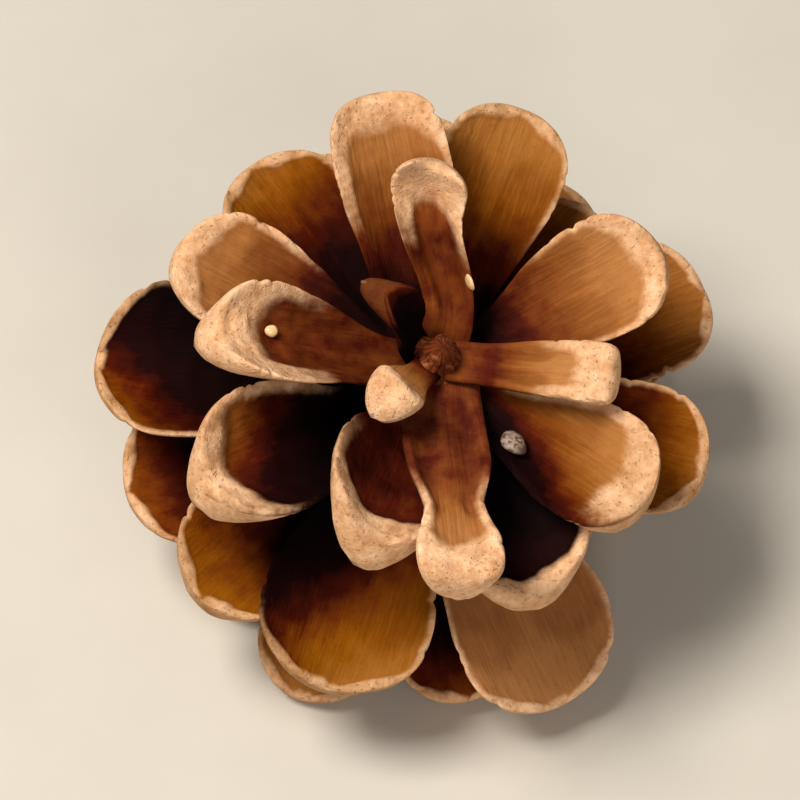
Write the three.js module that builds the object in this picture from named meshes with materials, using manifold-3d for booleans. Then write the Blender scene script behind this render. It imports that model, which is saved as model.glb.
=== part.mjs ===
// An open pine cone as it lies on a table: a woody axis, and the seed scales that grow from it in one
// spiral. Millimetres, +Z up. The origin is on the table, under the middle of the cone's outline. The
// axis leans forward and to the right, and the cone stands on the tips of its lowest scales.
import * as THREE from "three";
import { mergeVertices } from "three/addons/utils/BufferGeometryUtils.js";
import Module from "manifold-3d";

const wasm = await Module();
wasm.setup();

// The whole cone. Scales are counted from the tip of the cone down, so scale 0 is the topmost.
const SCALE_COUNT = 44;
const GOLDEN_ANGLE = 137.508; // degrees from each scale to the next one down
const FIRST_TURN = 222; // degrees from +X, where scale 0 points
const TOP_ROOT = 30; // height up the axis of the topmost scale's root
const ROOT_STEP = 0.76; // how much lower each next scale grows
const AXIS_TIP = 32.5;
const AXIS_FOOT = -4;
const AXIS_RADIUS = 4.4;
const LEAN_FORWARD = 16.5; // degrees
const LEAN_RIGHT = 8.6; // degrees
const FOOT = new THREE.Vector3(-1.05, 4.35, 6.5); // where the axis' height 0 is above the table

// The scales of the lower rows bend down until their tips reach the table.
const FIRST_FOOT_SCALE = 36;
const TABLE_BITE = 0.4; // how deep the tips are worn flat

// A seed still lies at the foot of one scale, and two beads of dried resin sit on others.
const SEED = { scale: 6, along: 0.38, across: -0.52, halfLength: 1.6, halfWidth: 1.2, halfHeight: 0.8 };
const RESIN_BEADS = [
  { scale: 5, along: 0.7, across: -0.2, radius: 0.6 },
  { scale: 4, along: 0.37, across: -0.92, radius: 0.75 },
];

const GAP = 0.3; // clear space between two pieces
const ROOT_ARC = -10; // degrees that a midrib bends up again from root to tip
const SCALE_ROWS = 8; // faces along a scale
const SCALE_COLUMNS = 4; // faces across a scale

// What single scales do differently from the rule in naturalTraits, counted from the cone's tip.
const OWN_WAYS = {
  0: { spread: 45, aside: 5, length: 8.6, halfWidth: 2.9, square: 2.6, neck: 0.55, cup: 0.15, plate: 1.6 },
  1: {
    spread: 70, aside: -8.5, length: 15, halfWidth: 3.3,
    square: 6, neck: 0.66, cup: 0.2, plate: 1.6, waist: 0.08,
  },
  2: { spread: 28, aside: 10, length: 9.5, halfWidth: 2.3, square: 2.2, neck: 0.8, cup: 0.8 },
  3: {
    spread: 66, aside: -2, length: 24, halfWidth: 4.5,
    square: 5, neck: 0.95, cup: 0.25, plate: 1.6, waist: 0.33,
  },
  4: {
    spread: 62, aside: 20, sway: 6.6, length: 16.6, halfWidth: 4.1,
    square: 2.8, neck: 0.62, cup: 0.7, waist: 0.1, hood: 2.2,
  },
  5: { spread: 65, aside: -8, length: 22.4, halfWidth: 5.4, square: 2.6, neck: 0.5, cup: 0.8, roll: 0.22 },
  6: { spread: 73, aside: -3.5, length: 22.5, halfWidth: 6.6, cup: 0.35 },
  7: { spread: 71, aside: 0, length: 25, halfWidth: 6, square: 3, neck: 0.6, cup: 0.35 },
  8: { spread: 60, aside: 6.5, length: 21.5, halfWidth: 6.4, cup: 0.6, roll: -0.3 },
  9: { spread: 65, aside: 8, length: 23, halfWidth: 6.2, cup: 0.35 },
  10: { spread: 77, aside: 0.5, length: 24.8 },
  11: { spread: 74, length: 22.9, halfWidth: 7, cup: 0.4 },
  12: { length: 26 },
  13: { spread: 70, aside: 2, length: 24.8, halfWidth: 7, cup: 0.6 },
  14: { aside: -5, halfWidth: 7 },
  15: { spread: 83, aside: 5, length: 24.6 },
  16: { spread: 94, aside: -10, length: 28.2, halfWidth: 8.8 },
  17: { spread: 78, aside: 3, length: 22 },
  18: { spread: 90, aside: -1, length: 28.7, halfWidth: 8.2, cup: 0.5 },
  19: { spread: 98, aside: -17.5, length: 30.1, halfWidth: 8.4 },
  21: { spread: 88, aside: -5 },
  22: { spread: 85, aside: 17, length: 28.4 },
  23: { spread: 90, length: 23 },
  24: { spread: 100, length: 25.8, halfWidth: 6.8, cup: 0.2 },
  26: { length: 25.5 },
  27: { spread: 100, length: 18, halfWidth: 6.5 },
  29: { spread: 103, halfWidth: 6.5 },
  32: { length: 20, halfWidth: 5.5 },
};

const radians = THREE.MathUtils.degToRad;

// An S-shaped step from 0 at low to 1 at high.
function smooth(low, high, value) {
  const share = THREE.MathUtils.clamp((value - low) / (high - low), 0, 1);
  return share * share * (3 - 2 * share);
}

// A measure that starts at 0 and closes in on 1, two thirds of the way after the given count.
function grown(n, count) {
  return 1 - Math.exp(-n / count);
}

// The axis is a slim spindle: thickest in its lower half, pointed at the tip, blunt at the stalk scar.
function axisRadiusAt(height) {
  const towardsTip = THREE.MathUtils.clamp((height - AXIS_FOOT) / (AXIS_TIP - AXIS_FOOT), 0, 1);
  return AXIS_RADIUS * (1 - 0.62 * towardsTip ** 1.6);
}

// Scale n by the rule: it opens wider, and grows longer and broader, the further down it stands, and the
// lowest rows dwindle again.
function naturalTraits(n) {
  const down = n / (SCALE_COUNT - 1);
  const dwindle = smooth(27, 44, n);
  return {
    aside: 0, // degrees that its root is off the spiral
    sway: 0, // sideways bend of the tip
    spread: 54 + 61 * down ** 0.8, // degrees between the cone's axis and the scale
    length: (13 + 13.6 * grown(n, 5)) * (1 - 0.5 * dwindle),
    halfWidth: (2.4 + 5.6 * grown(n, 9)) * (1 - 0.5 * dwindle),
    square: 3.2 - grown(n, 5), // 2 is a round end, 6 an almost square one
    neck: 0.42, // width of the root against the blade's
    waist: 0, // how far it is drawn in two thirds of the way along, against its width
    cup: 0.3, // how high the sides stand, against the half width
    roll: 0, // how much higher one side stands than the middle, against the half width
    hood: 0, // how far the very tip bends inwards
    plate: 1.3, // thickness of the blade
    knob: 1.8 + 1.8 * grown(n, 4), // thickness that the tip adds underneath
  };
}

// The spread that takes a scale's tip down to the table. towardsLean is how far the cone's lean turns
// this scale down, or up where it is negative.
function spreadToTable(traits) {
  const lean = Math.hypot(LEAN_FORWARD, LEAN_RIGHT);
  const leanTurn = Math.atan2(-LEAN_FORWARD, LEAN_RIGHT);
  const towardsLean = lean * Math.cos(radians(traits.turn) - leanTurn);
  const rootDrop = traits.rootRadius * Math.sin(radians(towardsLean));
  const reach = 0.5 * traits.plate + 0.75 * traits.knob - TABLE_BITE;
  const drop = FOOT.z + traits.rootHeight - rootDrop - reach;
  const below = Math.asin(THREE.MathUtils.clamp(drop / traits.length, -0.9, 0.9));
  return 90 + THREE.MathUtils.radToDeg(below) - towardsLean;
}

// All of scale n's measures, and its place on the spiral.
function scaleTraits(n) {
  const traits = { ...naturalTraits(n), ...OWN_WAYS[n] };
  traits.turn = FIRST_TURN + GOLDEN_ANGLE * n + traits.aside;
  traits.rootHeight = TOP_ROOT - ROOT_STEP * n;
  traits.rootRadius = axisRadiusAt(traits.rootHeight) + GAP + 0.5 * traits.plate;
  const lowest = spreadToTable(traits);
  traits.spread = n >= FIRST_FOOT_SCALE ? lowest : Math.min(traits.spread, lowest);
  return traits;
}

// Half of the blade's width at a share of its length: a narrow neck that widens, and a rounded end. A
// waist draws it in again by a bell curve.
function halfWidthAt(traits, along) {
  const shoulder = 0.74;
  const pastShoulder = THREE.MathUtils.clamp((along - shoulder) / (1 - shoulder), 0, 1);
  const end = (1 - pastShoulder ** traits.square) ** (1 / traits.square);
  const drawnIn = 1 - traits.waist * Math.exp(-(((along - 0.62) / 0.15) ** 2));
  const widened = traits.neck + (1 - traits.neck) * smooth(0.02, shoulder, along);
  return traits.halfWidth * widened * end * drawnIn;
}

// How far the swollen tip hangs below the blade: it swells towards the end and falls off bluntly.
function knobAt(traits, along, across) {
  const face = THREE.MathUtils.clamp((along - 0.86) / 0.14, 0, 1);
  const swelling = smooth(0.5, 0.86, along) * Math.sqrt(1 - face * face);
  return traits.knob * swelling * (1 - Math.abs(across) ** 2.5);
}

// A point of a scale in the cone's frame. along runs 0 to 1 from root to tip, across -1 to 1 from side
// to side, and side is 1 on the inner face, that looks at the cone's tip, and -1 on the outer face.
// spare makes the scale that much bigger all round, for the space that its neighbours leave free.
function scalePoint(traits, along, across, side, spare) {
  const arc = radians(ROOT_ARC);
  const start = radians(traits.spread) - 0.5 * arc;
  const angle = start + arc * along;
  const out = traits.rootRadius + (traits.length * (Math.cos(start) - Math.cos(angle))) / arc;
  const up = traits.rootHeight + (traits.length * (Math.sin(angle) - Math.sin(start))) / arc;
  const half = halfWidthAt(traits, along);
  const width = (half + spare) * across + traits.sway * smooth(0, 0.85, along);
  const cup = traits.cup * half * across * across * smooth(0, 0.45, along);
  const roll = traits.roll * half * across * smooth(0, 0.45, along);
  const droop = 0.04 * traits.length * smooth(0.55, 1, along) ** 1.5;
  const hood = traits.hood * smooth(0.7, 1, along) ** 2;
  const thickness = 0.5 * traits.plate * (1 - 0.65 * Math.abs(across) ** 3);
  const under = side < 0 ? knobAt(traits, along, across) : 0;
  const lift = cup + roll - droop + hood + side * (thickness + under + spare);
  const radius = out - lift * Math.cos(angle);
  const height = up + lift * Math.sin(angle);
  return new THREE.Vector3(radius, width, height).applyAxisAngle(AXIS_DIRECTION, radians(traits.turn));
}

const AXIS_DIRECTION = new THREE.Vector3(0, 0, 1);

// A closed solid from a grid of points on the inner face, one on the outer face and walls between them.
function scaleGeometry(traits, spare) {
  const points = [];
  for (const side of [1, -1]) {
    for (let row = 0; row <= SCALE_ROWS; row += 1) {
      const along = 0.999 * (1 - (1 - row / SCALE_ROWS) ** 1.6);
      for (let column = 0; column <= SCALE_COLUMNS; column += 1) {
        points.push(scalePoint(traits, along, (2 * column) / SCALE_COLUMNS - 1, side, spare));
      }
    }
  }
  const inner = (row, column) => row * (SCALE_COLUMNS + 1) + column;
  const outer = (row, column) => inner(row, column) + (SCALE_ROWS + 1) * (SCALE_COLUMNS + 1);
  const faces = [];
  const quad = (a, b, c, d) => faces.push(a, b, c, a, c, d);
  for (let row = 0; row < SCALE_ROWS; row += 1) {
    for (let column = 0; column < SCALE_COLUMNS; column += 1) {
      quad(inner(row, column), inner(row + 1, column), inner(row + 1, column + 1), inner(row, column + 1));
      quad(outer(row, column), outer(row, column + 1), outer(row + 1, column + 1), outer(row + 1, column));
    }
    quad(inner(row, 0), outer(row, 0), outer(row + 1, 0), inner(row + 1, 0));
    quad(
      inner(row + 1, SCALE_COLUMNS),
      outer(row + 1, SCALE_COLUMNS),
      outer(row, SCALE_COLUMNS),
      inner(row, SCALE_COLUMNS),
    );
  }
  for (let column = 0; column < SCALE_COLUMNS; column += 1) {
    quad(inner(0, column), inner(0, column + 1), outer(0, column + 1), outer(0, column));
    quad(
      inner(SCALE_ROWS, column + 1),
      inner(SCALE_ROWS, column),
      outer(SCALE_ROWS, column),
      outer(SCALE_ROWS, column + 1),
    );
  }
  const geometry = new THREE.BufferGeometry().setFromPoints(points);
  geometry.setIndex(faces);
  return geometry;
}

// The axis as a turned body, flat at its foot and drawn to a low point at its tip.
function axisGeometry() {
  const profile = [new THREE.Vector2(0, AXIS_FOOT)];
  const steps = 9;
  for (let step = 0; step <= steps; step += 1) {
    const height = AXIS_FOOT + ((AXIS_TIP - 1 - AXIS_FOOT) * step) / steps;
    profile.push(new THREE.Vector2(axisRadiusAt(height), height));
  }
  profile.push(new THREE.Vector2(0, AXIS_TIP));
  return new THREE.LatheGeometry(profile, 14).rotateX(Math.PI / 2);
}

function toSolid(geometry) {
  const bare = geometry.clone();
  bare.deleteAttribute("normal");
  bare.deleteAttribute("uv");
  const merged = mergeVertices(bare, 1e-5);
  return new wasm.Manifold(
    new wasm.Mesh({
      numProp: 3,
      vertProperties: new Float32Array(merged.attributes.position.array),
      triVerts: new Uint32Array(merged.index.array),
    }),
  );
}

function toGeometry(solid) {
  const mesh = solid.getMesh();
  const geometry = new THREE.BufferGeometry();
  geometry.setAttribute("position", new THREE.BufferAttribute(mesh.vertProperties, 3));
  geometry.setIndex(new THREE.BufferAttribute(mesh.triVerts, 1));
  return geometry;
}

// A trim can leave a sliver loose beside the scale. Only the scale itself is kept.
function largestBody(solid) {
  const bodies = solid.decompose();
  return bodies.reduce((largest, body) => (body.volume() > largest.volume() ? body : largest));
}

const cone = new THREE.Group();
cone.rotation.set(radians(LEAN_FORWARD), radians(LEAN_RIGHT), 0);
cone.position.copy(FOOT);
cone.updateMatrixWorld();

// The space under the table top, in the leaning cone's own frame.
const tableGeometry = new THREE.BoxGeometry(200, 200, 40).translate(0, 0, -20);
const table = toSolid(tableGeometry.applyMatrix4(cone.matrixWorld.clone().invert()));

const axisMaterial = new THREE.MeshStandardMaterial({ color: 0x6b3517, roughness: 0.85, metalness: 0 });
const axis = new THREE.Mesh(axisGeometry(), axisMaterial);
axis.name = "cone_axis";
cone.add(axis);

// Something small that lies on the inner face of a scale: its shape, turned to lie along the scale.
function layOnScale(mesh, n, along, across, halfHeight) {
  const traits = scaleTraits(n);
  mesh.position.copy(scalePoint(traits, along, across, 1, halfHeight + GAP));
  mesh.rotation.set(0, radians(traits.spread - 90), radians(traits.turn), "ZYX");
  cone.add(mesh);
}

const seedMaterial = new THREE.MeshStandardMaterial({ color: 0x6f6058, roughness: 0.6, metalness: 0 });
const seed = new THREE.Mesh(new THREE.SphereGeometry(1, 14, 8), seedMaterial);
seed.name = "seed";
seed.scale.set(SEED.halfLength, SEED.halfWidth, SEED.halfHeight);
layOnScale(seed, SEED.scale, SEED.along, SEED.across, SEED.halfHeight);

const resinMaterial = new THREE.MeshStandardMaterial({ color: 0xf0cfa0, roughness: 0.2, metalness: 0 });
RESIN_BEADS.forEach((bead, index) => {
  const mesh = new THREE.Mesh(new THREE.SphereGeometry(bead.radius, 10, 7), resinMaterial);
  mesh.name = `resin_bead_${index + 1}`;
  layOnScale(mesh, bead.scale, bead.along, bead.across, bead.radius);
});

// A scale is trimmed where it would touch one above it, and worn flat where it meets the table.
const taken = [];
for (let n = 0; n < SCALE_COUNT; n += 1) {
  const traits = scaleTraits(n);
  let solid = toSolid(scaleGeometry(traits, 0)).subtract(table);
  for (const space of taken) {
    if (solid.intersect(space).volume() > 0) {
      solid = largestBody(solid.subtract(space));
    }
  }
  taken.push(toSolid(scaleGeometry(traits, GAP)));
  const material = new THREE.MeshStandardMaterial({ color: 0xb5723c, roughness: 0.75, metalness: 0 });
  const scale = new THREE.Mesh(toGeometry(solid), material);
  scale.name = `scale_${String(n + 1).padStart(2, "0")}`;
  cone.add(scale);
}

export default cone;
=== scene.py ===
import math

import bpy
import numpy as np
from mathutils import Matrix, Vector


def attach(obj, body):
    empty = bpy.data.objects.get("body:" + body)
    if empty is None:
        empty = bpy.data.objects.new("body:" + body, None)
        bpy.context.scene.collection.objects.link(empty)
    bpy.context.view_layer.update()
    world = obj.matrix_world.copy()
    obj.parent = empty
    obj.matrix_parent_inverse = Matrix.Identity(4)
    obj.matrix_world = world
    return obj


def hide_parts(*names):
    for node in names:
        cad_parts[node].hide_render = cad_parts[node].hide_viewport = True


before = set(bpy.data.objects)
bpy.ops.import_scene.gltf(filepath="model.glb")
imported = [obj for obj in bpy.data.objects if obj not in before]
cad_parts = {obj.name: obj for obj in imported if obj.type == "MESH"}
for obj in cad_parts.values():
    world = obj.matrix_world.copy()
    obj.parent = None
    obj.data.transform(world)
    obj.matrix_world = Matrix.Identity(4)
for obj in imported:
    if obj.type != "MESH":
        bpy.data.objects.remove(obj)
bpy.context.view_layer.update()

# ---------------------------------------------------------------------------------------------------
# The axis: one woody spindle that all the scales grow from. It is dark, hard wood, rough with the low
# pegs that carry the scales. It ends above in a bud of pegs too small to have grown into scales, and
# below in the round scar where the cone left its branch.
# ---------------------------------------------------------------------------------------------------
SCALE_COUNT = 44
# Round the axis, in degrees: from one scale to the next down the spiral, and where the topmost stands.
GOLDEN_ANGLE = 137.508
FIRST_TURN = 222.0
# Up the axis from FOOT, in metres: the topmost root, the step down to the next, and the two ends.
TOP_ROOT = 0.030
ROOT_STEP = 0.00076
AXIS_TIP = 0.0325
AXIS_FOOT = -0.004
AXIS_RADIUS = 0.0044
# How the whole cone leans, and the point of its axis that all heights on it count from.
LEAN_FORWARD = math.radians(16.5)
LEAN_RIGHT = math.radians(8.6)
FOOT = np.array([-0.00105, 0.00435, 0.0065])


def smooth(low, high, value):
    """An S-shaped step: 0 below low, 1 above high, and 3x^2 - 2x^3 of the share between them."""
    share = np.clip((value - low) / (high - low), 0, 1)
    return share * share * (3 - 2 * share)


def to_table(points):
    """Points of the upright cone, leant right about Y, then forward about X, and set on the foot."""
    sin_x, cos_x = math.sin(LEAN_FORWARD), math.cos(LEAN_FORWARD)
    sin_y, cos_y = math.sin(LEAN_RIGHT), math.cos(LEAN_RIGHT)
    lean_x = np.array([[1, 0, 0], [0, cos_x, -sin_x], [0, sin_x, cos_x]])
    lean_y = np.array([[cos_y, 0, sin_y], [0, 1, 0], [-sin_y, 0, cos_y]])
    return points @ (lean_x @ lean_y).T + FOOT


def ring_mesh(name, points, attributes):
    """A closed surface from rings of points: the array is rings by places round by 3. Seen from the far
    end the rings turn against the clock, and a fan to its middle closes each end ring. attributes holds
    one value or one vector for each point."""
    rings, around = points.shape[:2]
    grid = np.arange(rings * around).reshape(rings, around)
    onward = np.roll(grid, -1, axis=1)
    sides = np.stack([grid[:-1], onward[:-1], onward[1:], grid[1:]], axis=-1).reshape(-1, 4)
    near_end, far_end = rings * around, rings * around + 1
    near_fan = np.stack([onward[0], grid[0], np.full(around, near_end)], axis=-1)
    far_fan = np.stack([grid[-1], onward[-1], np.full(around, far_end)], axis=-1)
    corners = np.concatenate([points.reshape(-1, 3), points[[0, -1]].mean(axis=1)])
    mesh = bpy.data.meshes.new(name)
    mesh.from_pydata(corners.tolist(), [], sides.tolist() + near_fan.tolist() + far_fan.tolist())
    for key, values in attributes.items():
        values = values.reshape(rings, around, -1)
        flat = np.concatenate([values.reshape(rings * around, -1), values[[0, -1]].mean(axis=1)])
        kind, slot = ("FLOAT", "value") if flat.shape[1] == 1 else ("FLOAT_VECTOR", "vector")
        mesh.attributes.new(key, kind, "POINT").data.foreach_set(slot, flat.astype(np.float32).ravel())
    mesh.polygons.foreach_set("use_smooth", np.ones(len(mesh.polygons), dtype=bool))
    mesh.update()
    piece = bpy.data.objects.new(name, mesh)
    bpy.context.scene.collection.objects.link(piece)
    return piece


def axis_radius(height):
    """Thickest low down and thinning to the tip, as 1 - 0.62 h^1.6 of the full radius."""
    towards_tip = np.clip((height - AXIS_FOOT) / (AXIS_TIP - AXIS_FOOT), 0, 1)
    return AXIS_RADIUS * (1 - 0.62 * towards_tip ** 1.6)


def peg_relief(height, turn):
    """How far pegs stand out of the plain spindle: a round bump, e^-(r^2), at each scale's root, and 14
    smaller ones above them that crowd towards the tip."""
    n = np.arange(-14, SCALE_COUNT)
    root_turn = np.radians(FIRST_TURN + GOLDEN_ANGLE * n)
    crowded = TOP_ROOT + (AXIS_TIP - TOP_ROOT) * (1 - np.exp(np.minimum(n, 0) / 6))
    root_height = np.where(n < 0, crowded, TOP_ROOT - ROOT_STEP * n)
    size = np.where(n < 0, 0.0008, 0.0011)
    across = (turn[..., None] - root_turn + np.pi) % (2 * np.pi) - np.pi
    across = across * axis_radius(height)[..., None]
    up = height[..., None] - root_height
    return (0.8 * size * np.exp(-(across / size) ** 2 - (up / (0.7 * size)) ** 2)).sum(axis=-1)


def axis_piece():
    """The spindle as 150 rings, rounded off at both ends, with fine furrows that run up it in sines."""
    share = np.linspace(0, 1, 150)[:, None] ** 0.9
    turn = np.linspace(0, 2 * np.pi, 96, endpoint=False)[None, :] + 0 * share
    height = AXIS_FOOT + (AXIS_TIP - AXIS_FOOT) * share + 0 * turn
    ends = np.sqrt(np.clip(1 - (1 - np.clip(share / 0.04, 0, 1)) ** 2, 0.15, 1))
    ends = ends * np.sqrt(np.clip(1 - np.clip((share - 0.86) / 0.14, 0, 1) ** 2, 0.003, 1))
    furrows = 0.00008 * np.sin(17 * turn + 300 * height) + 0.00006 * np.sin(29 * turn - 900 * height)
    furrows = furrows * smooth(1, 0.85, share)
    radius = (axis_radius(height) + peg_relief(height, turn) + furrows) * ends
    points = np.stack([radius * np.cos(turn), radius * np.sin(turn), height], axis=-1)
    grain = np.stack([AXIS_RADIUS * np.cos(turn), AXIS_RADIUS * np.sin(turn), height], axis=-1)
    return ring_mesh("axis_wood", to_table(points), {"grain": grain})


def add_node(tree, kind, inputs=(), **settings):
    """A shader node with its settings and its inputs, each a value or another node's output."""
    node = tree.nodes.new(kind)
    for key, value in settings.items():
        setattr(node, key, value)
    for key, value in dict(inputs).items():
        if isinstance(value, bpy.types.NodeSocket):
            tree.links.new(value, node.inputs[key])
        else:
            node.inputs[key].default_value = value
    return node


def maths(tree, operation, first, second=0.0, third=0.0):
    """One step of arithmetic. MULTIPLY_ADD is first times second plus third."""
    return add_node(tree, "ShaderNodeMath", {0: first, 1: second, 2: third}, operation=operation).outputs[0]


def swing(tree, share, amount):
    """A 0 to 1 noise turned into a swing of the given amount about 0."""
    return maths(tree, "MULTIPLY_ADD", share, amount, -0.5 * amount)


def step_between(tree, low, high, value):
    """A smooth 0 to 1 mask of a value between two limits."""
    node = add_node(tree, "ShaderNodeMapRange", {"Value": value, "From Min": low, "From Max": high},
                    interpolation_type="SMOOTHSTEP")
    return node.outputs["Result"]


def blend_colour(tree, share, first, second, blend_type="MIX"):
    """The first colour with a share of the second laid over it."""
    node = add_node(tree, "ShaderNodeMix", {0: share, 6: first, 7: second}, data_type="RGBA",
                    blend_type=blend_type)
    return node.outputs[2]


def noise(tree, vector, scale, detail=3.0, roughness=0.55):
    """A 0 to 1 noise whose patches are one over scale across."""
    node = add_node(tree, "ShaderNodeTexNoise",
                    {"Vector": vector, "Scale": scale, "Detail": detail, "Roughness": roughness})
    return node.outputs["Fac"]


def stretched(tree, vector, x, y, z):
    """Coordinates times a factor each way, so that a noise on them runs long where the factor is low."""
    return add_node(tree, "ShaderNodeMapping", {"Vector": vector, "Scale": (x, y, z)}).outputs["Vector"]


def attribute(tree, name, output="Fac"):
    """A value, or with the output Vector a place, that the mesh holds for each point."""
    return add_node(tree, "ShaderNodeAttribute", attribute_name=name).outputs[output]


def place_on(tree):
    """The place in the finished cone's own space."""
    return add_node(tree, "ShaderNodeTexCoord").outputs["Object"]


def roughen(tree, shader, height, depth):
    """Bumps of the given depth in metres, on the shader's surface."""
    bump = add_node(tree, "ShaderNodeBump", {"Strength": 1.0, "Distance": depth, "Height": height})
    tree.links.new(bump.outputs["Normal"], shader.inputs["Normal"])


def new_material(name, roughness, specular):
    """A named material with a Principled shader, and its tree and shader."""
    material = bpy.data.materials.new(name)
    material.use_nodes = True
    shader = material.node_tree.nodes["Principled BSDF"]
    shader.inputs["Roughness"].default_value = roughness
    shader.inputs["Specular IOR Level"].default_value = specular
    return material, material.node_tree, shader


def axis_wood():
    """Dark red-brown wood with lighter fibres that run up the spindle, and a few pale scars."""
    material, tree, shader = new_material("axis_wood", 0.8, 0.12)
    fibres = noise(tree, stretched(tree, attribute(tree, "grain", "Vector"), 2600, 2600, 500), 1.0, 4.0)
    patches = noise(tree, place_on(tree), 700.0, 4.0)
    light_fibres = step_between(tree, 0.3, 0.7, fibres)
    colour = blend_colour(tree, light_fibres, (0.055, 0.006, 0.002, 1), (0.26, 0.055, 0.012, 1))
    colour = blend_colour(tree, step_between(tree, 0.55, 0.68, patches), colour, (0.33, 0.13, 0.045, 1))
    tree.links.new(colour, shader.inputs["Base Color"])
    roughen(tree, shader, maths(tree, "ADD", fibres, patches), 0.0004)
    return material


axis = axis_piece()
axis.data.materials.append(axis_wood())
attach(axis, "root")
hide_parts("cone_axis")

# ---------------------------------------------------------------------------------------------------
# The scales: each grew as one piece of wood, a narrow neck on the axis that widens to a cupped blade
# and ends in a thick swollen tip. Its inner face carries the two shallow prints of the seed wings. All
# follow one spiral, and each has dried and opened a little its own way.
# ---------------------------------------------------------------------------------------------------
# The cone stands on the scales from this one down and on four above them. Their tips would reach about
# this far below the table, and are worn flat where they touch it.
FIRST_FOOT_SCALE = 36
TABLE_BITE = 0.0004
# A scale's blade starts this far outside the axis, and its root runs on inwards into the wood.
CLEARANCE = 0.0003
BURIED_ROOT = 0.0022
# How much the midrib bends from the root to the tip, and the length over which the end is rounded off.
MIDRIB_ARC = math.radians(-10)
ROUNDED_END = 0.0011
# Scale n draws its random numbers from a start of its own: this plus n.
FIRST_START = 700

# What single scales do differently from natural_traits, counted from the cone's tip and in the same
# units. Each gives its shape first, and then its surface, whose traits also place the painted shade on
# its inner face and the painted light and shade on the whole scale.
OWN_WAYS = {
    0: dict(spread=45, aside=5, length=8.6, half_width=2.9, square=2.6, neck=0.55, cup=0.15, plate=1.6,
            crown=1.4, print_depth=0, lip=5, dark_wood_and_shade_to=0),
    1: dict(spread=70, aside=-8.5, length=15, half_width=3.3, square=6, neck=0.66, waist=0.08, cup=0.2,
            plate=1.6, crown=0.7, rib=0.3, print_depth=0.5, dark_wood_and_shade_to=0.16, darkest_wood_and_shade=0.02),
    2: dict(spread=28, aside=10, length=9.5, half_width=2.3, square=2.2, neck=0.8, cup=0.8,
            lip=0.4, paleness=0.06, dark_wood_and_shade_to=0.95),
    3: dict(spread=66, aside=-2, length=24, half_width=4.5, square=5, neck=0.95, waist=0.33, cup=0.25,
            plate=1.6, crown=0.8, rib=0.3, print_depth=0.6, paleness=0.88, dark_wood_and_shade_to=0.42, darkest_wood_and_shade=0.02),
    4: dict(spread=62, aside=20, sway=6.6, length=16.6, half_width=4.1, square=2.8, neck=0.62,
            waist=0.1, cup=0.7, hood=2.2, crown=1, print_depth=0.6, lip=4.2, rim=1.3, rim_slant=0.5,
            dark_wood_and_shade_to=0.62, darkest_wood_and_shade=0.03),
    5: dict(spread=65, aside=-8, length=22.4, half_width=5.4, square=2.6, neck=0.5, cup=0.8, roll=0.22,
            crown=1.2, lip=5, rim=1.6, rim_slant=0.6, dark_wood_and_shade_to=0.7, darkest_wood_and_shade=0.03),
    6: dict(spread=73, aside=-3.5, length=22.5, half_width=6.6, cup=0.35,
            rim=1, dark_wood_and_shade_to=0.42, dark_and_shadow_slant=0.45, tone_and_painted_light=-0.12),
    7: dict(spread=71, aside=0, length=25, half_width=6, square=3, neck=0.6, cup=0.35,
            rim=1, rim_slant=0.5, paleness=0.85, dark_wood_and_shade_to=0.4),
    8: dict(spread=60, aside=6.5, length=21.5, half_width=6.4, cup=0.6, roll=-0.3,
            crown=1.2, rim=0.9, paleness=0.75, dark_wood_and_shade_to=0.92, darkest_wood_and_shade=-0.05),
    9: dict(spread=65, aside=8, length=23, half_width=6.2, cup=0.35,
            rim=0.4, paleness=0.85, dark_wood_and_shade_to=0.34),
    10: dict(spread=77, aside=0.5, length=24.8, dark_wood_and_shade_to=0.48),
    11: dict(spread=74, length=22.9, half_width=7, cup=0.4, crown=1, dark_wood_and_shade_to=1.12),
    12: dict(length=26, lip=0.9, rim=0.4, paleness=0.85, dark_wood_and_shade_to=0.42, tone_and_painted_light=-0.12),
    13: dict(spread=70, aside=2, length=24.8, half_width=7, cup=0.6,
             crown=1.1, lip=3.2, rim=0.8, paleness=0.8, dark_wood_and_shade_to=0.8, dark_and_shadow_slant=-0.3),
    14: dict(aside=-5, half_width=7, dark_wood_and_shade_to=0.68),
    15: dict(spread=83, aside=5, length=24.6, dark_wood_and_shade_to=0.66, tone_and_painted_light=-0.1),
    16: dict(spread=94, aside=-10, length=28.2, half_width=8.8,
             dark_wood_and_shade_to=0.62, dark_and_shadow_slant=0.35, tone_and_painted_light=-0.12),
    17: dict(spread=78, aside=3, length=22),
    18: dict(spread=90, aside=-1, length=28.7, half_width=8.2, cup=0.5, dark_wood_and_shade_to=0.98, dark_and_shadow_slant=0.3),
    19: dict(spread=98, aside=-17.5, length=30.1, half_width=8.4,
             paleness=0.9, dark_wood_and_shade_to=0.05, tone_and_painted_light=0.3),
    21: dict(spread=88, aside=-5, dark_wood_and_shade_to=0.7, tone_and_painted_light=-0.15),
    22: dict(spread=85, aside=17, length=28.4, dark_wood_and_shade_to=0.6),
    23: dict(spread=90, length=23),
    24: dict(spread=100, length=25.8, half_width=6.8, cup=0.2, dark_wood_and_shade_to=0.9),
    26: dict(length=25.5, dark_wood_and_shade_to=0.85),
    27: dict(spread=100, length=18, half_width=6.5),
    29: dict(spread=103, half_width=6.5),
    32: dict(length=20, half_width=5.5),
}
IN_MILLIMETRES = (
    "sway", "length", "half_width", "hood", "plate", "knob", "crown", "print_depth", "lip", "rim",
)


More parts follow.
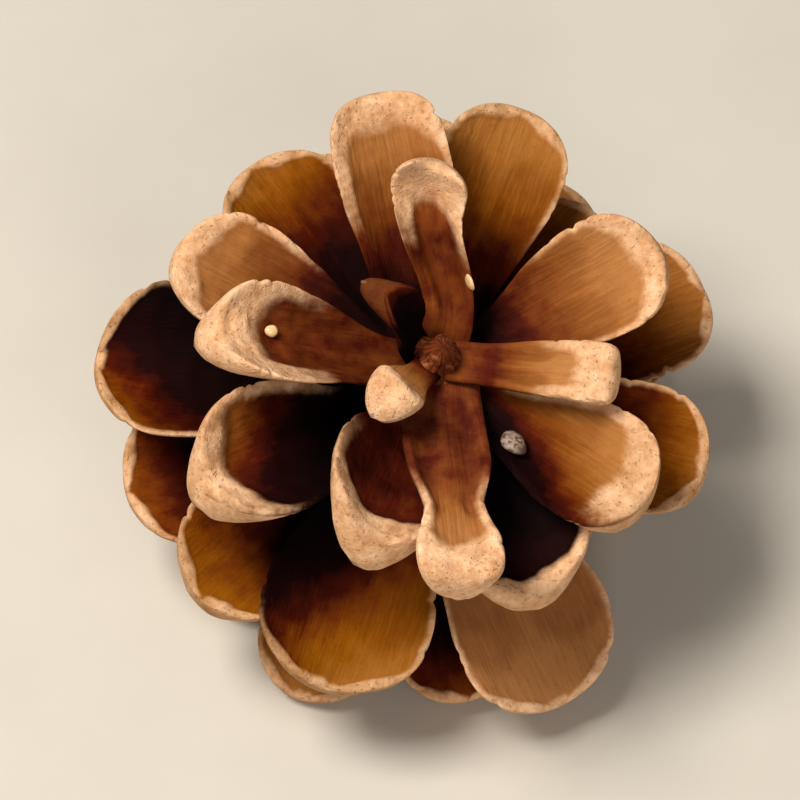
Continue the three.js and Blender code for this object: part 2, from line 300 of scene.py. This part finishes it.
def natural_traits(n):
    """Scale n by the rule: it opens wider, and grows longer and broader, the further down it stands, and
    the lowest rows dwindle again. Growth closes in on its full measure as 1 - e^(-n/k). Spread and aside
    are degrees, the traits in IN_MILLIMETRES are millimetres, and the rest are shares."""
    dwindle = float(smooth(27, 44, n))
    upper_rows = math.exp(-(n / 11) ** 4)
    return dict(
        spread=54 + 61 * (n / (SCALE_COUNT - 1)) ** 0.8,  # from the cone's axis to the scale
        aside=0,  # how far its root is off the spiral
        sway=0,  # sideways bend of the tip
        length=(13 + 13.6 * (1 - math.exp(-n / 5))) * (1 - 0.5 * dwindle),
        half_width=(2.4 + 5.6 * (1 - math.exp(-n / 9))) * (1 - 0.5 * dwindle),
        square=3.2 - (1 - math.exp(-n / 5)),  # 2 is a round end, 6 an almost square one
        neck=0.42,  # width of the root against the blade's
        waist=0,  # how far it is drawn in two thirds of the way along
        cup=0.3,  # how high the sides stand, against the half width
        roll=0,  # how much higher one side stands than the middle
        hood=0,  # how far the very tip bends inwards
        plate=1.3,  # thickness of the blade
        knob=1.8 + 1.8 * (1 - math.exp(-n / 4)),  # thickness that the tip adds underneath
        crown=0.3,  # how far the lip stands up from the inner face
        rib=0.07,  # half width of the rib between the two wing prints
        print_depth=0.3,
        lip=0.5 + 3.5 * upper_rows,  # width of the pale border at the tip
        rim=0.3 + 0.55 * upper_rows,  # width of the pale border down the sides
        rim_slant=0,  # how much more of it one side has
        paleness=1,  # how pale the border is
        dark_wood_and_shade_to=0.5,  # how far along the inner face is dark, as its own dark wood and painted shade of the hollow
        dark_and_shadow_slant=0,  # how much further it is dark on one side, as painted shadow of the scales above
        darkest_wood_and_shade=-0.5,  # how dark the dark wood and painted shade get at most: 0 is dark red, and lower is black
        tone_and_painted_light=0,  # how much lighter the whole scale is painted, darker below 0: its own tone, and painted light and shade
    )


def spread_to_table(traits):
    """The spread, in degrees, that takes the tip down to the table: the angle below the level whose sine
    is the drop over the length, less how far the cone's lean already turns this scale down."""
    lean = math.hypot(LEAN_FORWARD, LEAN_RIGHT)
    lean_turn = math.atan2(-LEAN_FORWARD, LEAN_RIGHT)
    towards_lean = lean * math.cos(traits["turn"] - lean_turn)
    root_drop = traits["root_radius"] * math.sin(towards_lean)
    reach = 0.5 * traits["plate"] + 0.75 * traits["knob"] - TABLE_BITE
    drop = FOOT[2] + traits["root_height"] - root_drop - reach
    below = math.asin(min(0.9, max(-0.9, drop / traits["length"])))
    return 90 + math.degrees(below - towards_lean)


def scale_traits(n):
    """All of scale n's measures, in metres, and its place on the spiral."""
    traits = {**natural_traits(n), **OWN_WAYS.get(n, {})}
    for key in IN_MILLIMETRES:
        traits[key] *= 0.001
    traits["turn"] = math.radians(FIRST_TURN + GOLDEN_ANGLE * n + traits["aside"])
    traits["root_height"] = TOP_ROOT - ROOT_STEP * n
    traits["root_radius"] = float(axis_radius(traits["root_height"])) + CLEARANCE + 0.5 * traits["plate"]
    lowest = spread_to_table(traits)
    traits["spread"] = lowest if n >= FIRST_FOOT_SCALE else min(traits["spread"], lowest)
    return traits


def half_width_at(traits, along):
    """A narrow neck that widens in an S to the shoulder, then a superellipse end of the given power. A
    waist draws it in again by a bell curve, two thirds of the way along."""
    shoulder = 0.74
    past = np.clip((along - shoulder) / (1 - shoulder), 0, 1)
    end = (1 - past ** traits["square"]) ** (1 / traits["square"])
    drawn_in = 1 - traits["waist"] * np.exp(-((along - 0.62) / 0.15) ** 2)
    widened = traits["neck"] + (1 - traits["neck"]) * smooth(0.02, shoulder, along)
    return traits["half_width"] * widened * end * drawn_in


def scale_points(traits, along, across, lift):
    """Points of a scale from shares along and across it and a height over the blade's middle surface. The
    midrib is an arc, the blade is cupped by the square of across and rolled in proportion to it, its last
    part droops a little, and a hood bends the very tip inwards."""
    start = math.radians(traits["spread"]) - 0.5 * MIDRIB_ARC
    angle = start + MIDRIB_ARC * along
    out = traits["root_radius"] + traits["length"] * (math.cos(start) - np.cos(angle)) / MIDRIB_ARC
    up = traits["root_height"] + traits["length"] * (np.sin(angle) - math.sin(start)) / MIDRIB_ARC
    half = half_width_at(traits, along)
    width = half * across + traits["sway"] * smooth(0, 0.85, along)
    bent = (traits["cup"] * across ** 2 + traits["roll"] * across) * half * smooth(0, 0.45, along)
    droop = 0.04 * traits["length"] * smooth(0.55, 1, along) ** 1.5
    height = lift + bent - droop + traits["hood"] * smooth(0.7, 1, along) ** 2
    radius = out - height * np.cos(angle)
    level = up + height * np.sin(angle)
    sin_turn, cos_turn = math.sin(traits["turn"]), math.cos(traits["turn"])
    x = radius * cos_turn - width * sin_turn
    y = radius * sin_turn + width * cos_turn
    return to_table(np.stack([x, y, level], axis=-1))


def hollow_at(traits, along, across, half, phase):
    """1 on the smooth inner face and 0 on its pale border. The border is a lip of its own width at the
    tip, bounded by an arch that falls with the square of across and wavers in sines, and a rim down the
    sides, wider on the side that it slants to. Both fade out softly."""
    waver = 0.012 * np.sin(7 * across + phase[0]) + 0.004 * np.sin(19 * across + phase[1])
    arch = 1 - traits["lip"] / traits["length"] - 0.11 * across ** 2 + waver
    soft = 0.0005 + 0.24 * traits["lip"]
    before_lip = smooth(-soft, soft, (arch - along) * traits["length"])
    rim = traits["rim"] * (1 + traits["rim_slant"] * across)
    waver = 0.1 * rim * np.sin(9 * along + phase[2])
    inside_rim = smooth(-0.0003, 0.0008, (1 - np.abs(across)) * half - rim + waver)
    return before_lip * inside_rim * smooth(0.02, 0.25, along)


def wing_prints(traits, along, across):
    """1 inside the two seed wings' prints. Each is bounded at its far end by a parabola about its own
    middle line, and between them stands the rib."""
    middle = 0.5 + 0.3 * traits["rib"]
    far_end = 0.88 - traits["lip"] / traits["length"] - 0.5 * (np.abs(across) - middle) ** 2
    beside_rib = smooth(0.3 * traits["rib"], 1.5 * traits["rib"], np.abs(across))
    return smooth(0, 0.09, far_end - along) * beside_rib


def weathering(draws, x, y):
    """An uneven surface of about 1 from trough to crest: 30 plane waves in random directions over the
    blade, from 1.1 to 6 mm long, each as high as it is long."""
    wavelength = 0.0011 * np.exp(draws.uniform(0, math.log(5.5), 30))
    heading, phase = draws.uniform(0, 2 * np.pi, (2, 30))
    travelled = x[..., None] * np.cos(heading) + y[..., None] * np.sin(heading)
    waves = wavelength * np.sin(2 * np.pi * travelled / wavelength + phase)
    return waves.sum(axis=-1) / (2 * math.sqrt(np.sum(wavelength ** 2)))


def frayed_edge(draws, along, across):
    """How much of its width each side keeps: slow sines along it, and three small nicks on each side."""
    side = (across > 0).astype(int)
    phase = draws.uniform(0, 2 * np.pi, 4)
    keeps = 1 + 0.016 * np.sin(9 * along + phase[side]) + 0.004 * np.sin(31 * along + phase[2 + side])
    nick_at = draws.uniform(0.55, 0.99, (3, 2))
    nick_depth = draws.uniform(0.01, 0.05, (3, 2))
    nicks = nick_depth[:, side] * np.exp(-((along - nick_at[:, side]) / 0.012) ** 2)
    return 1 + (keeps - 1 - nicks.sum(axis=0)) * smooth(0.1, 0.5, along)


def swollen_tip(traits, along, across):
    """What the tip adds under the blade: the knob, which grows in an S and ends in a quarter ellipse,
    highest in the middle, and the ridges on it, a keel across and a low boss, both bell curves. The third
    value is the boss's own mask."""
    face = np.clip((along - 0.86) / 0.14, 0, 1)
    swelling = smooth(0.5, 0.86, along) * np.sqrt(1 - face ** 2) * (1 - np.abs(across) ** 3)
    boss = np.exp(-((along - 0.945) / 0.022) ** 2 - (across / 0.16) ** 2)
    keel = np.exp(-((along - 0.94 + 0.02 * across ** 2) / 0.012) ** 2) * (1 - across ** 2)
    return traits["knob"] * swelling, 0.0003 * boss + 0.0002 * keel, boss


def scale_piece(n):
    """Scale n as rings along its midrib, closer together towards the tip. A ring is a flat superellipse of
    the third power, rounded off at the end of the scale as a quarter ellipse. Its lower half swells towards
    the tip. Its upper half is hollowed by the two prints and stands up again in the lip."""
    traits = scale_traits(n)
    draws = np.random.default_rng(FIRST_START + n)
    share = np.linspace(0, 1, 112)[:, None]
    turn = np.linspace(0, 2 * np.pi, 96, endpoint=False)[None, :] + 0 * share
    buried = BURIED_ROOT / traits["length"]
    # The last ring stays a hair short of the end, where the blade has no width left.
    along = 1 - (1 + buried) * (1 - share) ** 2.1 - 1e-6 * share + 0 * turn
    across = np.sign(np.cos(turn)) * np.abs(np.cos(turn)) ** 0.667
    side = np.sign(np.sin(turn)) * np.abs(np.sin(turn)) ** 0.667
    half = half_width_at(traits, along)

    rounding = 1 - ROUNDED_END / traits["length"]
    end = np.sqrt(np.clip(1 - np.clip((along - rounding) / (1 - rounding), 0, 1) ** 2, 0.0001, 1))
    knob, ridges, boss = swollen_tip(traits, along, across)
    hollow = hollow_at(traits, along, across, half, draws.uniform(0, 2 * np.pi, 3))
    prints = wing_prints(traits, along, across) * hollow
    crown = traits["crown"] * (1 - hollow) * smooth(0.5, 0.9, along)
    inner = (0.5 * traits["plate"] + crown) * side * end - traits["print_depth"] * prints * side
    outer = 0.5 * traits["plate"] * side * end - knob - ridges * end
    rough = (0.00013 + 0.00013 * (1 - hollow)) * smooth(0.1, 0.7, along) * end
    uneven = weathering(draws, half * across, traits["length"] * along + 0.003 * side)
    lift = np.where(side > 0, inner, outer) + rough * uneven

    points = scale_points(traits, along, across * frayed_edge(draws, along, across), lift)
    # Worn flat where it stands on the table.
    points[..., 2] = np.maximum(points[..., 2], 0)

    # Painted shade: the inner face darkens from the neck out, and further on one side where the scales
    # above cast their shadow; the pale border fades on that shaded side too. The dark wood of the base is
    # part of it.
    shadow_slanted_along = along + traits["dark_and_shadow_slant"] * across
    past_dark_and_shade = np.maximum(shadow_slanted_along - traits["dark_wood_and_shade_to"], traits["darkest_wood_and_shade"])
    border = (1 - hollow) * smooth(0.3, 0.75, shadow_slanted_along) * traits["paleness"]
    # Each scale's tone: darker for the lower scales, shifted by its own trait, which is partly painted
    # light and shade, and a little at random.
    tone = 0.06 - 0.18 * float(smooth(8, 16, n)) + traits["tone_and_painted_light"] + draws.uniform(-0.07, 0.07)
    grain = np.stack([half * across, traits["length"] * along, 0.05 * n + 0.01 * np.sign(side)], axis=-1)
    return ring_mesh(f"woody_scale_{n + 1:02d}", points, {
        "grain": grain, "outward": along * traits["paleness"] ** 0.3, "past_dark_and_shade": past_dark_and_shade, "side": side,
        "border": border, "prints": prints, "boss": boss * (side < 0), "tone": np.full_like(along, tone)})


def colour_ramp(tree, share, stops):
    """A colour that runs through the given stops, each a place and a colour, as share goes from 0 to 1."""
    node = add_node(tree, "ShaderNodeValToRGB", {"Fac": share})
    for place, _ in stops[2:]:
        node.color_ramp.elements.new(place)
    for element, (place, colour) in zip(node.color_ramp.elements, stops):
        element.position = place
        element.color = (*colour, 1)
    return node.outputs["Color"]


def inner_face_colour(tree, fibres, patchy):
    """From almost black at the neck through dark red to golden ochre, browner in the wing prints, and
    streaked with darker and lighter fibres. The dark at the neck is partly the wood's own dark red and
    partly painted shade of the deep hollows and of the shadows that the scales above cast."""
    ripeness = maths(tree, "ADD", maths(tree, "ADD", attribute(tree, "past_dark_and_shade"), 0.5), patchy)
    colour = colour_ramp(tree, ripeness, [
        (0.0, (0.003, 0.0004, 0.0003)), (0.34, (0.012, 0.0010, 0.0008)), (0.48, (0.075, 0.008, 0.002)),
        (0.58, (0.165, 0.036, 0.004)), (0.72, (0.255, 0.080, 0.012)), (1.0, (0.370, 0.148, 0.040))])
    browned = maths(tree, "MULTIPLY", attribute(tree, "prints"), 0.5)
    colour = blend_colour(tree, browned, colour, (0.60, 0.46, 0.34, 1), "MULTIPLY")
    dark_fibres = maths(tree, "MULTIPLY", step_between(tree, 0.46, 0.68, fibres), 0.22)
    colour = blend_colour(tree, dark_fibres, colour, (0.52, 0.38, 0.28, 1), "MULTIPLY")
    light_fibres = maths(tree, "MULTIPLY", step_between(tree, 0.50, 0.30, fibres), 0.13)
    light_fibres = maths(tree, "MULTIPLY", light_fibres, step_between(tree, 0.5, 0.8, ripeness))
    return blend_colour(tree, light_fibres, colour, (0.60, 0.28, 0.07, 1))


def pale_cork_colour(tree, mottle, cork):
    """The pale skin of lip, rim and tip: cream to tan, in coarse patches with finer ones in them."""
    corky = maths(tree, "ADD", maths(tree, "MULTIPLY", mottle, 0.65), maths(tree, "MULTIPLY", cork, 0.35))
    return colour_ramp(tree, corky, [
        (0.26, (0.380, 0.160, 0.065)), (0.42, (0.560, 0.295, 0.142)), (0.56, (0.700, 0.415, 0.232)),
        (0.72, (0.820, 0.560, 0.360))])


def border_mask(tree, mottle, cork):
    """1 on the pale border of the inner face, with an uneven, soft inner line."""
    border = attribute(tree, "border")
    uneven = maths(tree, "ADD", swing(tree, mottle, 0.5), swing(tree, cork, 0.25))
    soft_line = step_between(tree, 0.1, 1.0, maths(tree, "ADD", border, uneven))
    return maths(tree, "MULTIPLY", soft_line, step_between(tree, 0.0, 0.4, border))


def outer_face_colour(tree, outward, mottle, pale):
    """Dark at the neck, through brown to the pale cork of the swollen tip, with a grey-brown boss."""
    ripeness = maths(tree, "ADD", outward, swing(tree, mottle, 0.3))
    colour = colour_ramp(tree, ripeness, [
        (0.0, (0.015, 0.002, 0.001)), (0.35, (0.070, 0.013, 0.003)), (0.62, (0.200, 0.060, 0.012)),
        (0.78, (0.340, 0.130, 0.040)), (0.86, (0.500, 0.245, 0.100))])
    colour = blend_colour(tree, step_between(tree, 0.74, 0.86, ripeness), colour, pale)
    boss = maths(tree, "MULTIPLY", step_between(tree, 0.3, 0.8, attribute(tree, "boss")), 0.7)
    return blend_colour(tree, boss, colour, (0.20, 0.095, 0.050, 1))


def scale_tone_and_light(tree, colour):
    """The colour made lighter or darker by each scale's own tone, which carries painted light and shade
    as well as its own colour, and a little greyer where lighter.
    """
    tone = attribute(tree, "tone")
    lightness = maths(tree, "ADD", tone, 1.0)
    saturation = maths(tree, "MULTIPLY_ADD", tone, -0.25, 1.0)
    varied = {"Value": lightness, "Saturation": saturation, "Color": colour}
    return add_node(tree, "ShaderNodeHueSaturation", varied).outputs["Color"]


def scale_wood():
    """Dry cone wood: the inner face with its pale border, and the outer face with its pale tip, which is
    lightly pitted. The wood is fibrous in relief, and the cork of the border is lumpy."""
    material, tree, shader = new_material("scale_wood", 0.75, 0.05)
    grain = attribute(tree, "grain", "Vector")
    place = place_on(tree)
    outward = attribute(tree, "outward")
    fibres = noise(tree, stretched(tree, grain, 3000, 240, 1000), 1.0, 4.0, 0.6)
    streaks = noise(tree, stretched(tree, grain, 800, 110, 1000), 1.0, 3.0)
    mottle = noise(tree, place, 420.0, 5.0, 0.6)
    cork = noise(tree, place, 1500.0, 3.0, 0.65)
    specks = noise(tree, place, 2300.0, 1.0)

    patchy = maths(tree, "ADD", swing(tree, mottle, 0.30), swing(tree, streaks, 0.16))
    pale = pale_cork_colour(tree, mottle, cork)
    edge = border_mask(tree, mottle, cork)
    inner = blend_colour(tree, edge, inner_face_colour(tree, fibres, patchy), pale)
    outer = outer_face_colour(tree, outward, mottle, pale)
    inner_side = step_between(tree, -0.35, 0.05, attribute(tree, "side"))
    colour = blend_colour(tree, inner_side, outer, inner)

    near_tip = step_between(tree, 0.5, 0.85, outward)
    pits = maths(tree, "MULTIPLY", step_between(tree, 0.62, 0.74, specks), near_tip)
    faint_pits = maths(tree, "MULTIPLY", pits, 0.25)
    colour = blend_colour(tree, faint_pits, colour, (0.42, 0.24, 0.14, 1), "MULTIPLY")
    tree.links.new(scale_tone_and_light(tree, colour), shader.inputs["Base Color"])

    fibrous = maths(tree, "MULTIPLY", maths(tree, "ADD", fibres, streaks), 0.45)
    pitted = maths(tree, "SUBTRACT", maths(tree, "MULTIPLY", cork, 0.6), maths(tree, "MULTIPLY", pits, 0.3))
    relief = add_node(tree, "ShaderNodeMix", {0: edge, 2: fibrous, 3: pitted}).outputs[0]
    roughen(tree, shader, relief, 0.0003)
    return material


wood = scale_wood()
for n in range(SCALE_COUNT):
    scale = scale_piece(n)
    scale.data.materials.append(wood)
    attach(scale, "root")
    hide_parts(f"scale_{n + 1:02d}")

# ---------------------------------------------------------------------------------------------------
# The seed: one seed that never fell out. It lies near the foot of a scale and has lost its wing. It is a
# hard egg-shaped nut, grey-brown and mottled.
# ---------------------------------------------------------------------------------------------------


def on_scale(n, along, across, height):
    """A place on scale n's inner face, raised by height, and the three unit directions there: along the
    scale, across it, and out of its face."""
    traits = scale_traits(n)
    step = 0.01
    shares = np.array([along, along + step, along, along])
    sideways = np.array([across, across, across + step, across])
    lifts = 0.5 * traits["plate"] + np.array([height, height, height, height + step * 0.01])
    spots = scale_points(traits, shares, sideways, lifts)
    ways = spots[1:] - spots[0]
    return spots[0], ways / np.linalg.norm(ways, axis=1, keepdims=True)


def pebble(name, spot, ways, half_sizes, taper, phases):
    """An egg: a ball stretched to three half sizes, narrowed towards one end by taper, with low waves
    round it and along it that start at the given phases."""
    share = np.linspace(0.004, 0.996, 40)[:, None]
    turn = np.linspace(0, 2 * np.pi, 48, endpoint=False)[None, :] + 0 * share
    lengthwise = -np.cos(np.pi * share) + 0 * turn
    ring = np.sin(np.pi * share) * (1 - taper * lengthwise)
    dents = 1 + 0.04 * np.sin(3 * turn + phases[0]) * np.sin(4 * lengthwise + phases[1])
    local = np.stack([lengthwise * half_sizes[0], ring * dents * np.cos(turn) * half_sizes[1],
                      ring * dents * np.sin(turn) * half_sizes[2]], axis=-1)
    return ring_mesh(name, spot + local @ ways, {"lengthwise": lengthwise})


def seed_coat():
    """Grey-brown seed coat, darker at the pointed end, with small dark mottles and a dull shine."""
    material, tree, shader = new_material("seed_coat", 0.45, 0.4)
    mottles = noise(tree, place_on(tree), 2200.0, 3.0)
    dark_mottles = step_between(tree, 0.40, 0.62, mottles)
    colour = blend_colour(tree, dark_mottles, (0.34, 0.25, 0.19, 1), (0.10, 0.055, 0.040, 1))
    darker_end = step_between(tree, 0.1, 1.0, attribute(tree, "lengthwise"))
    colour = blend_colour(tree, darker_end, colour, (0.06, 0.030, 0.022, 1))
    tree.links.new(colour, shader.inputs["Base Color"])
    roughen(tree, shader, mottles, 0.0001)
    return material


SEED_SCALE = 6
SEED_ALONG = 0.38
SEED_ACROSS = -0.52
SEED_HALF_SIZES = (0.0016, 0.0012, 0.0008)
seed_spot, seed_ways = on_scale(SEED_SCALE, SEED_ALONG, SEED_ACROSS, 0.0007)
seed = pebble("seed_nut", seed_spot, seed_ways, SEED_HALF_SIZES, 0.25, (0.4, 1.1))
seed.data.materials.append(seed_coat())
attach(seed, "root")
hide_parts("seed")

# ---------------------------------------------------------------------------------------------------
# The resin: two drops that bled from the wood and dried hard, each stuck to a scale's inner face. They
# are pale amber, a little cloudy, and glossy.
# ---------------------------------------------------------------------------------------------------


def resin():
    """Pale amber, cloudy in patches, with a hard wet-looking gloss."""
    material, tree, shader = new_material("resin", 0.15, 0.5)
    clouds = noise(tree, place_on(tree), 1800.0, 2.0)
    colour = blend_colour(tree, clouds, (0.75, 0.38, 0.12, 1), (0.90, 0.66, 0.40, 1))
    tree.links.new(colour, shader.inputs["Base Color"])
    shader.inputs["Coat Weight"].default_value = 0.6
    roughen(tree, shader, clouds, 0.00005)
    return material


# Each bead's scale, its place along and across that scale, and its radius.
RESIN_BEADS = [(5, 0.70, -0.20, 0.0006), (4, 0.37, -0.92, 0.00075)]
resin_finish = resin()
for number, (n, along, across, radius) in enumerate(RESIN_BEADS, start=1):
    bead_spot, bead_ways = on_scale(n, along, across, 0.6 * radius)
    half_sizes = (1.15 * radius, radius, 0.8 * radius)
    bead = pebble(f"resin_drop_{number}", bead_spot, bead_ways, half_sizes, 0.15, (number, 2.0))
    bead.data.materials.append(resin_finish)
    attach(bead, "root")
    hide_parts(f"resin_bead_{number}")

# ---------------------------------------------------------------------------------------------------
# The table, the light and the camera. The table is a plain pale sheet that the cone lies on. The light
# is a large soft lamp high on the left, a weaker one in front, and a dim warm sky.
# ---------------------------------------------------------------------------------------------------
table_mesh = bpy.data.meshes.new("table")
table_mesh.from_pydata([(-3, -3, 0), (3, -3, 0), (3, 3, 0), (-3, 3, 0)], [], [(0, 1, 2, 3)])
table = bpy.data.objects.new("table", table_mesh)
bpy.context.scene.collection.objects.link(table)
table_material, table_tree, table_shader = new_material("pale_table", 0.8, 0.2)
table_grain = noise(table_tree, place_on(table_tree), 60.0)
table_colour = blend_colour(table_tree, table_grain, (0.54, 0.50, 0.44, 1), (0.60, 0.56, 0.50, 1))
table_tree.links.new(table_colour, table_shader.inputs["Base Color"])
table_mesh.materials.append(table_material)

LOOK_AT = Vector((-0.00055, 0.00355, 0.0156))
CAMERA_HEIGHT = math.radians(56)
CAMERA_DISTANCE = 0.6
VIEW_WIDTH = 0.0823


def soft_light(name, place, size, watts, colour):
    """A square lamp at a place in metres that shines at the cone."""
    lamp = bpy.data.lights.new(name, "AREA")
    lamp.energy = watts
    lamp.size = size
    lamp.color = colour
    light = bpy.data.objects.new(name, lamp)
    light.location = place
    light.rotation_euler = (LOOK_AT - Vector(place)).to_track_quat("-Z", "Y").to_euler()
    bpy.context.scene.collection.objects.link(light)


soft_light("key_light", (-0.26, -0.04, 0.62), 0.26, 5.6, (1.0, 0.96, 0.88))
soft_light("front_light", (0.15, -0.55, 0.42), 0.35, 1.5, (1.0, 0.95, 0.88))

world = bpy.data.worlds.new("studio")
world.use_nodes = True
world.node_tree.nodes["Background"].inputs["Color"].default_value = (1.0, 0.97, 0.92, 1)
world.node_tree.nodes["Background"].inputs["Strength"].default_value = 0.15
bpy.context.scene.world = world
bpy.context.scene.view_settings.view_transform = "Standard"

camera_data = bpy.data.cameras.new("camera")
camera_data.sensor_width = 36
camera_data.lens = 36 * CAMERA_DISTANCE / VIEW_WIDTH
camera = bpy.data.objects.new("camera", camera_data)
towards_camera = Vector((0, -math.cos(CAMERA_HEIGHT), math.sin(CAMERA_HEIGHT)))
camera.location = LOOK_AT + CAMERA_DISTANCE * towards_camera
camera.rotation_euler = (-towards_camera).to_track_quat("-Z", "Y").to_euler()
bpy.context.scene.collection.objects.link(camera)
bpy.context.scene.camera = camera
